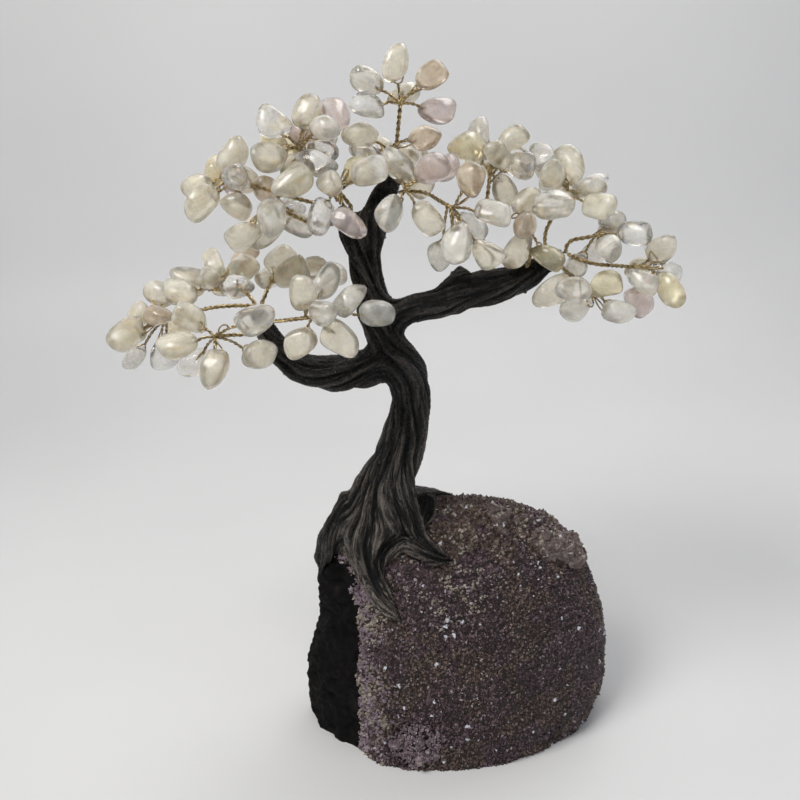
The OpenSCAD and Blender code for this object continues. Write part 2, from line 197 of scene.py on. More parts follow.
def edges_of(ob):
    ed = np.zeros(len(ob.data.edges) * 2, int)
    ob.data.edges.foreach_get("vertices", ed)
    return ed.reshape(-1, 2)


def relax(values, edges, rounds):
    """Values at the vertices, each moved half way to its neighbours' mean every round."""
    out = np.array(values, float)
    flat = out.ndim == 1
    if flat:
        out = out[:, None]
    count = np.bincount(edges.ravel(), minlength=len(out))[:, None]
    for _ in range(rounds):
        total = np.zeros_like(out)
        for k in range(out.shape[1]):
            total[:, k] = (np.bincount(edges[:, 0], out[edges[:, 1], k], len(out))
                           + np.bincount(edges[:, 1], out[edges[:, 0], k], len(out)))
        out = out + 0.5 * (total / np.maximum(count, 1) - out)
    return out[:, 0] if flat else out


SLOPES = unit(np.random.default_rng(1).normal(size=(256, 3)))
HASH_X, HASH_Y, HASH_Z, HASH_SEED = 73856093, 19349663, 83492791, 50331653
HASH_MIX = 1274126177
WAVE_GAIN = 1.6                     # brings the waves up to about -1 to 1
SEED_STEP = np.array([13.7, 5.3, 9.1])      # how far each seed moves the noise's origin
OCTAVE = 2.03                       # how much finer each octave is than the one before


def wave(p, seed):
    """Smooth random waves at the points p, about one unit across and from -1 to 1."""
    cell = np.floor(p).astype(np.int64)
    f = p - cell
    w = f * f * f * (f * (f * 6 - 15) + 10)
    total = np.zeros(len(p))
    for corner in range(8):
        o = np.array([corner & 1, corner >> 1 & 1, corner >> 2 & 1])
        x, y, z = (cell + o).T
        h = (x * HASH_X) ^ (y * HASH_Y) ^ (z * HASH_Z) ^ (seed * HASH_SEED)
        h = ((h ^ (h >> 13)) * HASH_MIX) & 0x7FFFFFFF
        slope = SLOPES[(h >> 9) & 255]
        share = np.where(o, w, 1 - w)
        total += np.sum((f - o) * slope, axis=1) * share[:, 0] * share[:, 1] * share[:, 2]
    return WAVE_GAIN * total


def noise_at(co, scale, seed, octaves=1):
    """Smooth noise of about -1 to 1, with features about scale metres across."""
    q = np.asarray(co) / scale + seed * SEED_STEP
    out, size = np.zeros(len(q)), 1.0
    for k in range(octaves):
        out += size * wave(q, k)
        size *= 0.5
        q = q * OCTAVE
    return out


class Nearest:
    """Finds the vertex nearest to any point that is close to a surface."""
    REACH = 4                       # how many cells off the surface a point may lie

    def __init__(self, co, cell):
        margin = self.REACH + 2
        self.cell = cell
        self.lo = co.min(0) - margin * cell
        place = np.floor((co - self.lo) / cell).astype(int)
        self.shape = place.max(0) + margin + 1
        self.grid = np.zeros(self.shape, np.int32)
        reach = range(-self.REACH, self.REACH + 1)
        steps = [(x, y, z) for x in reach for y in reach for z in reach]
        for step in sorted(steps, key=lambda q: -(q[0] ** 2 + q[1] ** 2 + q[2] ** 2)):
            self.grid[tuple((place + step).T)] = np.arange(len(co))

    def at(self, p):
        place = np.floor((p - self.lo) / self.cell).astype(int)
        return self.grid[tuple(np.clip(place, 0, self.shape - 1).T)]


def flow_lines(co, no, flow, near, step, count):
    """Points along the flow line through each vertex, nearest first, both ways."""
    lines = []
    for start in (1, -1):
        p, way, line = co, flow * start, []
        for _ in range(count):
            p = p + way * step
            v = near.at(p)
            p = p - no[v] * np.sum((p - co[v]) * no[v], axis=1, keepdims=True)
            turn = np.sum(flow[v] * way, axis=1, keepdims=True)
            way = np.where(turn < 0, -flow[v], flow[v])
            line.append(p)
        lines.append(line)
    return lines


# ------------------------------------------------------------------ material tools
class Shader:
    """A Principled material and short calls that add nodes to it."""

    def __init__(self, name):
        self.mat = bpy.data.materials.new(name)
        self.mat.use_nodes = True
        self.nodes = self.mat.node_tree.nodes
        self.links = self.mat.node_tree.links
        self.bsdf = next(n for n in self.nodes if n.type == "BSDF_PRINCIPLED")
        self.pos = self.nodes.new("ShaderNodeTexCoord").outputs["Object"]

    def set(self, **values):
        for key, value in values.items():
            self.bsdf.inputs[key.replace("_", " ")].default_value = value

    def put(self, node, name, value):
        socket = node.inputs[name]
        if isinstance(value, bpy.types.NodeSocket):
            self.links.new(value, socket)
        else:
            socket.default_value = value

    def to(self, name, value):
        self.put(self.bsdf, name, value)

    def noise(self, scale, detail=4.0, rough=0.5, distort=0.0, at=None):
        n = self.nodes.new("ShaderNodeTexNoise")
        self.links.new(at or self.pos, n.inputs["Vector"])
        n.inputs["Scale"].default_value = scale
        n.inputs["Detail"].default_value = detail
        n.inputs["Roughness"].default_value = rough
        n.inputs["Distortion"].default_value = distort
        return n.outputs["Fac"]

    def ramp(self, fac, *stops):
        n = self.nodes.new("ShaderNodeValToRGB")
        self.put(n, "Fac", fac)
        el = n.color_ramp.elements
        while len(el) < len(stops):
            el.new(0.5)
        for e, (at, col) in zip(el, stops):
            e.position = at
            e.color = (*col, 1)
        return n.outputs["Color"]

    def map(self, value, lo, hi, to_lo=0.0, to_hi=1.0):
        n = self.nodes.new("ShaderNodeMapRange")
        self.put(n, "Value", value)
        n.inputs["From Min"].default_value = lo
        n.inputs["From Max"].default_value = hi
        n.inputs["To Min"].default_value = to_lo
        n.inputs["To Max"].default_value = to_hi
        return n.outputs["Result"]

    def math(self, op, a, b=0.0):
        n = self.nodes.new("ShaderNodeMath")
        n.operation = op
        self.links.new(a, n.inputs[0])
        if isinstance(b, bpy.types.NodeSocket):
            self.links.new(b, n.inputs[1])
        else:
            n.inputs[1].default_value = b
        return n.outputs[0]

    def mix(self, fac, a, b):
        n = self.nodes.new("ShaderNodeMix")
        n.data_type = "RGBA"
        self.put(n, "Factor", fac)
        colour_a, colour_b, colour_out = n.inputs[6], n.inputs[7], n.outputs[2]
        for socket, value in ((colour_a, a), (colour_b, b)):
            if isinstance(value, bpy.types.NodeSocket):
                self.links.new(value, socket)
            else:
                socket.default_value = (*value, 1)
        return colour_out

    def attribute(self, name, out="Fac"):
        n = self.nodes.new("ShaderNodeAttribute")
        n.attribute_name = name
        return n.outputs[out]

    def bump(self, height, strength, distance):
        n = self.nodes.new("ShaderNodeBump")
        n.inputs["Strength"].default_value = strength
        n.inputs["Distance"].default_value = distance
        self.links.new(height, n.inputs["Height"])
        self.links.new(n.outputs["Normal"], self.bsdf.inputs["Normal"])

    def done(self):
        return self.mat


def quartz(name, clear, cloudy, deep, transmission):
    """Tumbled quartz: clear in parts, with veils of cloud and a polished skin."""
    s = Shader(name)
    veil = s.noise(70, detail=4, rough=0.55, distort=1.4)
    wisps = s.noise(260, detail=4, rough=0.6, distort=2.4)
    body = s.ramp(s.noise(48, detail=3, rough=0.5, distort=0.6),
                  (0.32, deep), (0.52, clear), (0.70, cloudy))
    cloud = s.map(s.math("ADD", veil, s.math("MULTIPLY", wisps, 0.25)), 0.50, 0.84)
    s.to("Base Color", s.mix(cloud, body, cloudy))
    s.to("Transmission Weight", s.map(cloud, 0.0, 1.0, transmission, 0.5 * transmission))
    s.to("Roughness", s.map(s.noise(420, detail=2), 0.3, 0.7, 0.05, 0.16))
    s.set(IOR=1.34, Coat_Weight=0.35, Coat_Roughness=0.03, Subsurface_Weight=0.8,
          Subsurface_Radius=(1.0, 0.88, 0.70), Subsurface_Scale=0.010)
    s.bump(s.noise(150, detail=3, rough=0.5), 0.07, 0.0005)
    return s.done()


QUARTZ = [
    quartz("quartz_cream", (0.98, 0.915, 0.79), (0.94, 0.87, 0.74), (0.94, 0.84, 0.67), 0.80),
    quartz("quartz_pale", (0.99, 0.95, 0.87), (0.95, 0.90, 0.81), (0.95, 0.89, 0.77), 0.84),
    quartz("quartz_citrine", (0.98, 0.895, 0.67), (0.94, 0.84, 0.63), (0.93, 0.80, 0.55), 0.82),
    quartz("quartz_mauve", (0.88, 0.77, 0.74), (0.82, 0.73, 0.69), (0.78, 0.66, 0.63), 0.80),
    quartz("quartz_clear", (0.99, 0.97, 0.93), (0.95, 0.92, 0.86), (0.97, 0.93, 0.86), 0.95),
    quartz("quartz_smoky", (0.88, 0.76, 0.61), (0.82, 0.71, 0.58), (0.77, 0.64, 0.49), 0.80),
]
QUARTZ_SHARE = [0.38, 0.20, 0.14, 0.06, 0.15, 0.07]     # how many stones are of each


def gilt():
    """Brass-coloured wire, dull in its tarnished parts."""
    s = Shader("gilt_wire")
    tarnish = s.noise(700, detail=4, rough=0.6)
    s.to("Base Color", s.ramp(tarnish, (0.32, (0.11, 0.078, 0.038)), (0.48, (0.38, 0.29, 0.15)),
                              (0.66, (0.66, 0.54, 0.31))))
    s.to("Roughness", s.map(tarnish, 0.3, 0.7, 0.48, 0.26))
    s.set(Metallic=1.0)
    s.bump(s.noise(2500, detail=2), 0.15, 0.0001)
    return s.done()


def clay():
    """Near-black clay with a hand-rubbed sheen, lighter on the ribs: partly dry brushing, greyest
    lower down, and partly a painted highlight along every rib. Its finest lines follow the strands,
    through the strand coordinates kept on the mesh."""
    s = Shader("clay")
    rib = s.attribute("rib")
    low = s.attribute("low")
    at = s.attribute("strand", "Vector")
    hair = s.noise(2.2, detail=3, rough=0.6, at=at)
    thread = s.noise(5.5, detail=2, rough=0.6, at=at)
    speck = s.noise(900, detail=4, rough=0.65)
    base = s.ramp(s.noise(160, detail=5, rough=0.6),
                  (0.3, (0.0012, 0.0010, 0.0009)), (0.7, (0.0050, 0.0042, 0.0038)))
    # ribs painted lighter: dry brushing, greyest lower down, and a painted highlight along every
    # rib
    rub_and_rib_highlight = s.math("MULTIPLY", s.map(rib, 0.55, 0.87), s.map(hair, 0.43, 0.54, 0.08, 1.0))
    rub_and_rib_highlight = s.math("MULTIPLY", rub_and_rib_highlight, s.map(speck, 0.30, 0.60, 0.45, 1.0))
    rub_and_rib_highlight = s.math("MULTIPLY", rub_and_rib_highlight, s.map(low, 0.0, 1.0, 0.30, 1.0))
    s.to("Base Color", s.mix(rub_and_rib_highlight, base, (0.27, 0.232, 0.198)))
    s.to("Roughness", s.map(s.math("ADD", s.noise(300, detail=4), s.math("MULTIPLY", low, 0.30)),
                            0.35, 0.95, 0.17, 0.50))
    s.set(Specular_IOR_Level=0.36)
    fine = s.math("ADD", s.math("MULTIPLY", s.noise(1100, detail=4, rough=0.6), 0.35), hair)
    s.bump(s.math("ADD", fine, s.math("MULTIPLY", thread, 0.7)), 0.9, 0.0012)
    return s.done()


def rock():
    """Matt black basalt, a little greyer where it is broken."""
    s = Shader("rock")
    tone = s.noise(90, detail=6, rough=0.62)
    s.to("Base Color", s.ramp(tone, (0.30, (0.0018, 0.0016, 0.0016)),
                              (0.58, (0.006, 0.0052, 0.0052)), (0.80, (0.026, 0.023, 0.022))))
    s.to("Roughness", s.map(s.noise(200, detail=3), 0.3, 0.7, 0.72, 0.95))
    s.set(Specular_IOR_Level=0.15)
    grain = s.math("ADD", s.noise(420, detail=6, rough=0.65), s.noise(1500, detail=3, rough=0.6))
    s.bump(grain, 0.8, 0.0010)
    return s.done()


def druse(name, dark, mid, light, rough, transmission=0.0):
    """Small amethyst points, dark in the gaps and pale where the light goes through."""
    s = Shader(name)
    tone = s.noise(520, detail=4, rough=0.6)
    patch = s.noise(45, detail=4, rough=0.6)
    col = s.ramp(tone, (0.32, dark), (0.52, mid), (0.72, light))
    s.to("Base Color", s.mix(s.map(patch, 0.35, 0.65, 0.0, 0.5), col, dark))
    s.to("Roughness", s.map(s.noise(800, detail=2), 0.3, 0.7, rough, rough + 0.16))
    s.set(IOR=1.5, Specular_IOR_Level=0.35, Transmission_Weight=transmission)
    s.bump(s.noise(1300, detail=3), 0.25, 0.0003)
    return s.done()


M_GILT = gilt()
M_CLAY = clay()
M_ROCK = rock()
# the bed shows only in the gaps between the points: the crust's dark plum-brown, darkened further
# as painted shade in the gaps
M_SHADED_BED = druse("druse_bed", (0.010, 0.006, 0.006), (0.030, 0.020, 0.019), (0.070, 0.050, 0.047), 0.5)
DRUSE = [
    druse("druse_plum", (0.035, 0.022, 0.026), (0.124, 0.083, 0.095), (0.31, 0.23, 0.255), 0.16),
    druse("druse_brown", (0.040, 0.027, 0.022), (0.135, 0.095, 0.081), (0.33, 0.25, 0.21), 0.20),
    druse("druse_pale", (0.17, 0.145, 0.12), (0.38, 0.335, 0.28), (0.62, 0.57, 0.48), 0.22),
    druse("druse_lilac", (0.13, 0.095, 0.115), (0.30, 0.235, 0.27), (0.54, 0.46, 0.51), 0.18),
    # painted glint: white, faintly blue sides that stand for the lamps' reflection on crystal
    # facets
    druse("druse_painted_glint", (0.50, 0.50, 0.56), (0.72, 0.73, 0.82), (0.90, 0.91, 0.98), 0.10),
    druse("druse_mauve", (0.11, 0.080, 0.092), (0.25, 0.19, 0.215), (0.46, 0.38, 0.41), 0.20, 0.1),
]
PLUM, BROWN, PALE, LILAC, PAINTED_GLINT, MAUVE = range(6)     # places in DRUSE
M_CRYSTAL = druse("crystal_points", (0.070, 0.050, 0.046), (0.19, 0.145, 0.13),
                  (0.38, 0.30, 0.28), 0.16, 0.15)
M_CORE = gilt()
M_CORE.name = "core_wire"


# ------------------------------------------------------------------ stones
def ball(levels):
    """Unit icosphere as vertices and triangles."""
    bm = bmesh.new()
    bmesh.ops.create_icosphere(bm, subdivisions=levels, radius=1.0)
    v = np.array([p.co[:] for p in bm.verts])
    f = np.array([[p.index for p in q.verts] for q in bm.faces])
    bm.free()
    return v, f


BALL, BALL_F = ball(4)
FLATS = 12                          # worn flats on a stone, besides the six of its block
FLAT_AT = (0.84, 1.0)               # their distance from the centre
BLOCK_AT = (0.92, 1.0)              # the same for the block's six sides
WEAR = (3.4, 5.0)                   # the lower it is, the rounder the edges between flats
DENT = 0.028                        # height of the dents, as a share of the stone
FULLNESS = np.array([0.975, 0.985, 0.995])  # of the CAD stone's length, width and thickness


def tumbled(rng, size):
    """A tumbled stone: a block of random soft flats, worn round."""
    n = unit(rng.normal(size=(FLATS, 3)))
    n = np.vstack([n, np.eye(3), -np.eye(3)])
    d = rng.uniform(*FLAT_AT, len(n))
    d[FLATS:] = rng.uniform(*BLOCK_AT, 6)
    power = rng.uniform(*WEAR)
    push = np.maximum(BALL @ n.T, 0) / d
    r = np.power(np.sum(push ** power, axis=1), -1 / power)
    r /= r.max()
    taper = 1 + rng.uniform(-0.10, 0.10) * BALL[:, 0] + rng.uniform(-0.08, 0.08) * BALL[:, 1]
    v = BALL * (r * taper)[:, None]
    v = (v - (v.max(0) + v.min(0)) / 2) / ((v.max(0) - v.min(0)) / 2)
    dents = noise_at(v, 0.9, rng.uniform(1, 90))
    return v * (1 + DENT * dents)[:, None] * size


def stones_in(name):
    """Centre, axes and half extents of every stone in a stones node, in a steady order."""
    co, tri = node_mesh(name)
    out = []
    for group in islands(neighbours(len(co), tri)):
        p = co[group]
        axes = np.linalg.svd(p - p.mean(0), full_matrices=False)[2]
        if np.linalg.det(axes) < 0:
            axes[2] *= -1
        along = (p - p.mean(0)) @ axes.T
        lo, hi = along.min(0), along.max(0)
        centre = p.mean(0) + ((lo + hi) / 2) @ axes
        out.append((centre, axes, (hi - lo) / 2))
    return sorted(out, key=lambda s: tuple(np.round(s[0] / 1e-5)))


STONES = {x: stones_in("stones_" + x) for x in SPRAYS}


def build_stones(x, rng):
    """All the stones of a spray as one mesh, with a quartz chosen for each."""
    verts, faces, mats = [], [], []
    for centre, axes, half in STONES[x]:
        v = tumbled(rng, half * FULLNESS) @ axes + centre
        faces.append(BALL_F + sum(len(q) for q in verts))
        verts.append(v)
        mats.append(np.full(len(BALL_F), rng.choice(len(QUARTZ), p=QUARTZ_SHARE)))
    ob = add_mesh("stones_of_" + x, np.vstack(verts), np.vstack(faces))
    for m in QUARTZ:
        ob.data.materials.append(m)
    ob.data.polygons.foreach_set("material_index", np.concatenate(mats).astype(np.int32))
    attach(ob, "spray_" + x)
    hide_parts("stones_" + x)


for number, x in enumerate(SPRAYS):
    build_stones(x, np.random.default_rng(100 + number))


# ------------------------------------------------------------------ wires
TWIG_REACH = 6.95 * MM      # a twig's end is nearer to its stone's centre than this
BOW = 0.06                  # rise of a twig's middle, as a share of its length
STEM_SIDES = 5              # sides of the CAD's stem tube
TWIG_SIDES = 4              # sides of its twig tubes
HUB_STEP = 1.0 * MM         # twigs nearer than this along the stem leave at one point


def twigs_in(x):
    """For each twig of a spray, the points where it leaves the stem, arches and ends, with
    its stone's centre. They come from the rings of the CAD tube."""
    co, tri = node_mesh("wires_" + x)
    near = neighbours(len(co), tri)
    out = []
    for centre, _, _ in STONES[x]:
        away = np.linalg.norm(co - centre, axis=1)
        close = [v for v in np.argsort(away)[:12] if away[v] < TWIG_REACH]
        ring = set(close[:1])
        for v in close[1:]:
            if near[v] & ring and len(ring) < TWIG_SIDES:
                ring.add(v)
        tip = co[list(ring)].mean(0)
        middle = set().union(*(near[v] for v in ring)) - ring
        mid = co[list(middle)].mean(0)
        start = 2 * mid - tip
        for _ in range(4):
            start = 2 * (mid - np.array([0, 0, BOW * np.linalg.norm(tip - start)])) - tip
        out.append((start, mid, tip, centre))
    return out


def stem_in(x, twigs):
    """Points along a spray's stem, from its foot to the hub."""
    foot = np.array(JOINTS["spray_" + x]["pos_m"], float)
    co, tri = node_mesh("wires_" + x)
    near = neighbours(len(co), tri)
    order = np.argsort(np.linalg.norm(co - foot, axis=1))
    ring, seen, points = set(order[:STEM_SIDES].tolist()), set(), [foot]
    for _ in range(3):
        seen |= ring
        nxt = set().union(*(near[v] for v in ring)) - seen
        if len(nxt) != STEM_SIDES:
            break
        points.append(co[list(nxt)].mean(0))
        ring = nxt
    starts = np.array([t[0] for t in twigs])
    reach = np.linalg.norm(starts - foot, axis=1)
    hub = starts[np.argmax(reach)]
    last = points[-1]
    along = unit(hub - last)
    rest = sorted(((s - last) @ along, tuple(s)) for s in starts)
    for t, s in rest:
        if t > np.linalg.norm(np.array(points[-1]) - last) + HUB_STEP:
            points.append(np.array(s))
    return np.array(points)


def resample(points, step):
    """The points evened out along a smooth curve, about step apart."""
    P = np.asarray(points, float)
    if len(P) > 2:
        fine = []
        for i in range(len(P) - 1):
            a, b, c, d = P[max(i - 1, 0)], P[i], P[i + 1], P[min(i + 2, len(P) - 1)]
            for f in np.linspace(0, 1, 12, endpoint=False):
                fine.append(0.5 * (2 * b + (c - a) * f + (2 * a - 5 * b + 4 * c - d) * f * f
                                   + (3 * b - a - 3 * c + d) * f ** 3))
        P = np.vstack([fine, P[-1]])
    length = np.concatenate([[0], np.cumsum(np.linalg.norm(np.diff(P, axis=0), axis=1))])
    t = np.linspace(0, length[-1], max(int(length[-1] / step), 2) + 1)
    return np.column_stack([np.interp(t, length, P[:, k]) for k in range(3)])


def frames(P):
    """Tangents and steady normals along a line of points."""
    T = unit(np.gradient(P, axis=0))
    u = np.cross(T[0], [0.31, 0.2, 0.93])
    U = [u / np.linalg.norm(u)]
    for t in T[1:]:
        u = U[-1] - t * (U[-1] @ t)
        U.append(u / max(np.linalg.norm(u), 1e-9))
    return T, np.array(U), np.cross(T, np.array(U))


def tube(P, radius, sides=6):
    """Closed round tube along P; radius is one number or one for each point."""
    P = np.asarray(P, float)
    T, U, V = frames(P)
    r = np.broadcast_to(radius, len(P))
    a = np.arange(sides) * 2 * math.pi / sides
    ring = (P[:, None] + r[:, None, None] * (np.cos(a)[None, :, None] * U[:, None]
            + np.sin(a)[None, :, None] * V[:, None])).reshape(-1, 3)
    faces = [(i * sides + k, i * sides + (k + 1) % sides, (i + 1) * sides + (k + 1) % sides,
              (i + 1) * sides + k) for i in range(len(P) - 1) for k in range(sides)]
    faces.append(tuple(range(sides - 1, -1, -1)))
    faces.append(tuple((len(P) - 1) * sides + k for k in range(sides)))
    return ring, faces


class Parts:
    """Gathers vertices and faces into one mesh."""

    def __init__(self):
        self.v, self.f, self.n = [], [], 0

    def add(self, verts, faces):
        self.v.append(verts)
        self.f.extend(tuple(i + self.n for i in f) for f in faces)
        self.n += len(verts)


WIRE_R = 0.35 * MM          # radius of one wire
CORE_PITCH, CORE_SPREAD = 7.0 * MM, 0.48 * MM       # the three wires inside a stem
WRAP_PITCH, WRAP_SPREAD = 5.4 * MM, 0.70 * MM       # the two wires wound round them
TWIG_PITCH, TWIG_SPREAD = 4.8 * MM, 0.40 * MM       # the two wires of a twig
TWIG_IN = 2.4 * MM          # how far short of the CAD twig's end the twist stops
EYE_OUT, EYE_HALF = 0.8 * MM, 2.6 * MM              # the eye that grips a stone
SHOULDER_OUT, SHOULDER_SIDE = 0.7 * MM, 1.5 * MM    # where the two wires part


def twist(parts, P, strands, pitch, spread, phase):
    """Strands of wire twisted round the line P. Returns each strand's points."""
    Q = resample(P, pitch / 9)
    T, U, V = frames(Q)
    length = np.concatenate([[0], np.cumsum(np.linalg.norm(np.diff(Q, axis=0), axis=1))])
    lines = []
    for k in range(strands):
        a = phase + 2 * math.pi * (length / pitch + k / strands)
        lines.append(Q + spread * (np.cos(a)[:, None] * U + np.sin(a)[:, None] * V))
    for line in lines:
        parts.add(*tube(line, WIRE_R))
    return lines


def ring_loop(parts, start, along, side, length, width):
    """An open, empty eye of wire at the end of a twist."""
    t = np.linspace(0, 2 * math.pi, 26)
    x = (1 - np.cos(t)) / 2 * length
    y = np.sin(t) * width / 2 * (0.55 + 0.45 * (1 - np.cos(t)) / 2)
    parts.add(*tube(start + x[:, None] * along + y[:, None] * side, WIRE_R))


def stone_grip(parts, a, b, tip, out, side):
    """The two wires of a twig part round the stone's end and meet inside it."""
    hole = tip + out * EYE_OUT
    loop = [a[-2], a[-1], a[-1] + out * SHOULDER_OUT + side * SHOULDER_SIDE,
            hole + side * EYE_HALF, hole, hole - side * EYE_HALF,
            b[-1] + out * SHOULDER_OUT - side * SHOULDER_SIDE, b[-1], b[-2]]
    parts.add(*tube(resample(loop, 0.5 * MM), WIRE_R))


def empty_eye(parts, root, mid, hub, rng):
    """A short twist that ends in an eye without a stone."""
    away = unit(rng.normal(size=3) * 0.5 + unit(mid - root) + np.array([0, -0.4, 0.1]))
    start = hub * 0.5 + root * 0.5
    end = start + away * rng.uniform(3, 6) * MM
    bent = np.array([start, (start + end) / 2 + [0, 0, 0.3 * MM], end])
    twist(parts, bent, 2, TWIG_PITCH, TWIG_SPREAD, rng.uniform(0, 6))
    side = unit(np.cross(away, rng.normal(size=3)))
    ring_loop(parts, end, away, side, rng.uniform(6.5, 9) * MM, rng.uniform(3.0, 4.4) * MM)


def build_wires(x, rng):
    """A spray's stem, its twigs with their grips, and one to three empty eyes."""
    twigs = twigs_in(x)
    stem = stem_in(x, twigs)
    parts = Parts()
    twist(parts, stem, 3, CORE_PITCH, CORE_SPREAD, rng.uniform(0, 6))
    twist(parts, stem, 2, WRAP_PITCH, WRAP_SPREAD, rng.uniform(0, 6))
    for start, mid, tip, centre in twigs:
        out = unit(centre - tip)
        line = np.array([start, mid, tip - out * TWIG_IN])
        a, b = twist(parts, line, 2, TWIG_PITCH, TWIG_SPREAD, rng.uniform(0, 6))
        stone_grip(parts, a, b, tip, out, unit(np.cross(out, rng.normal(size=3))))
    for _ in range(1 + int(rng.uniform(0, 2.2))):
        start, mid, _, _ = twigs[rng.integers(len(twigs))]
        empty_eye(parts, start, mid, stem[-1], rng)
    ob = add_mesh("twisted_wire_" + x, np.vstack(parts.v), parts.f)
    ob.data.materials.append(M_GILT)
    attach(ob, "spray_" + x)
    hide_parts("wires_" + x)


for number, x in enumerate(SPRAYS):
    build_wires(x, np.random.default_rng(300 + number))


# ------------------------------------------------------------------ clay tree
def merged(names):
    """The meshes of several CAD nodes as one."""
    verts, faces, n = [], [], 0
    for name in names:
        v, f = node_mesh(name)
        verts.append(v)
        faces.append(f + n)
        n += len(v)
    return np.vstack(verts), np.vstack(faces)


def keep_largest(ob):
    """Removes every loose part but the largest."""
    ed = edges_of(ob)
    label = np.arange(len(ob.data.vertices))
    while True:
        new = label.copy()
        np.minimum.at(new, ed[:, 0], label[ed[:, 1]])
        np.minimum.at(new, ed[:, 1], label[ed[:, 0]])
        new = new[new]
        if (new == label).all():
            break
        label = new
    ids, counts = np.unique(label, return_counts=True)
    best = ids[np.argmax(counts)]
    if len(ids) > 1:
        bm = bmesh.new()
        bm.from_mesh(ob.data)
        bm.verts.ensure_lookup_table()
        bmesh.ops.delete(bm, geom=[bm.verts[i] for i in np.nonzero(label != best)[0]],
                         context="VERTS")
        bm.to_mesh(ob.data)
        bm.free()


def blur3(grid, rounds):
    """The grid evened out along its three axes."""
    for _ in range(rounds):
        for axis in range(3):
            grid = (np.roll(grid, 1, axis) + np.roll(grid, -1, axis) + 2 * grid) / 4
    return grid


AXIS_CELL = 2 * MM          # grid on which the limbs' directions are worked out
AXIS_ROUNDS = 26            # rounds of blurring, which reach across the thickest limb
AXIS_MARGIN = 12            # empty cells round the tree


def limb_axis(co, no):
    """The direction that the limb runs in at each vertex: the one its normals avoid."""
    lo = co.min(0) - AXIS_MARGIN * AXIS_CELL
    idx = np.floor((co - lo) / AXIS_CELL).astype(int)
    shape = idx.max(0) + AXIS_MARGIN + 1
    grid = np.zeros((*shape, 6))
    pairs = [(0, 0), (0, 1), (0, 2), (1, 1), (1, 2), (2, 2)]
    for n, (i, j) in enumerate(pairs):
        np.add.at(grid[..., n], tuple(idx.T), no[:, i] * no[:, j])
    grid = blur3(grid, AXIS_ROUNDS)
    got = grid[tuple(idx.T)]
    A = np.zeros((len(co), 3, 3))
    for n, (i, j) in enumerate(pairs):
        A[:, i, j] = A[:, j, i] = got[:, n]
    return np.linalg.eigh(A)[1][:, :, 0]


def swollen(ob, amount):
    """Moves every vertex out along its normal."""
    set_coords(ob, coords(ob) + normals(ob) * amount)


def raw(ob):
    """A mesh's vertices and triangles, with the object removed."""
    ob.data.calc_loop_triangles()
    tri = np.zeros(len(ob.data.loop_triangles) * 3, int)
    ob.data.loop_triangles.foreach_get("vertices", tri)
    co = coords(ob)
    bpy.data.objects.remove(ob)
    return co, tri.reshape(-1, 3)


def closed(ob, gap):
    """The mesh with every fork and gap narrower than twice the gap filled by a web."""
    swollen(ob, gap)
    ob = remeshed(ob.name, *raw(ob), 1.0 * MM)
    set_coords(ob, relax(coords(ob), edges_of(ob), 5))
    swollen(ob, -gap)
    return ob


WEB = 3.0 * MM          # half the width of the gaps that clay fills in the forks
ROOT_WEB = 1.1 * MM     # the same between the roots, which stay separate
ROOTS = [n for n in CLAY_NODES if n.startswith("root_") or n == "cut_stub"]
upper = remeshed("clay_upper", *merged([n for n in CLAY_NODES if n not in ROOTS]), 1.0 * MM)
keep_largest(upper)
upper_v, upper_f = raw(closed(upper, WEB))
root_v, root_f = merged(ROOTS)
shell = remeshed("clay_shell", np.vstack([upper_v, root_v]),
                 np.vstack([upper_f, root_f + len(upper_v)]), 0.9 * MM)
tree = remeshed("clay_tree", *raw(closed(shell, ROOT_WEB)), 0.6 * MM)
keep_largest(tree)
ed = edges_of(tree)
set_coords(tree, relax(coords(tree), ed, 8))
co, no = coords(tree), normals(tree)
axis = limb_axis(co, no)
flow = unit(axis - no * np.sum(axis * no, axis=1, keepdims=True))
LEAN, LEAN_SWING = 10, 26   # degrees that the strands wind round the limb, and their swing
FLOW_STEP = 1.3 * MM        # step along a flow line
FLOW_STEPS = 18
lean = np.radians(LEAN + LEAN_SWING * noise_at(co, 24 * MM, 5))[:, None]
flow = unit(np.cos(lean) * flow + np.sin(lean) * np.cross(no, flow))
lines = flow_lines(co, no, flow, Nearest(co, 0.5 * MM), FLOW_STEP, FLOW_STEPS)


def drawn_out(scale, seed, length):
    """Noise scale across, drawn out to length along the flow, with a spread of 1."""
    v = noise_at(co, scale, seed)
    for line in lines:
        for k, p in enumerate(line):
            share = math.exp(-0.5 * ((k + 1) * FLOW_STEP / length) ** 2)
            if share > 0.05:
                v += share * noise_at(p, scale, seed)
    return (v - v.mean()) / v.std()


def ribbed(v, sharp):
    """Rounded ribs with narrow valleys between them, from 0 to 1."""
    return np.clip(np.abs(v) / 1.7, 0, 1) ** sharp


# relief: broad, medium and hair-fine ribs along the flow, small burrs and soft lumps
strand = np.column_stack([drawn_out(5.5 * MM, k, 14 * MM) for k in (1, 2, 3)])
broad = ribbed(strand[:, 0], 0.55)
medium = ribbed(drawn_out(3.0 * MM, 14, 10 * MM), 0.60)
hair = ribbed(drawn_out(1.6 * MM, 15, 7 * MM), 0.7)
lumps = noise_at(co, 11 * MM, 4, 2)
burr = np.clip(noise_at(co, 2.6 * MM, 61) - 0.60, 0, 0.35) * (noise_at(co, 15 * MM, 62) > -0.1)
BROAD_MEAN, MEDIUM_MEAN, HAIR_MEAN = 0.66, 0.64, 0.58       # so the skin stays where it was
height = ((broad - BROAD_MEAN) * 2.4 + (medium - MEDIUM_MEAN) * 1.6
          + (hair - HAIR_MEAN) * 0.8 + burr * 3.2 + lumps * 0.55) * MM
set_coords(tree, co + no * height[:, None])
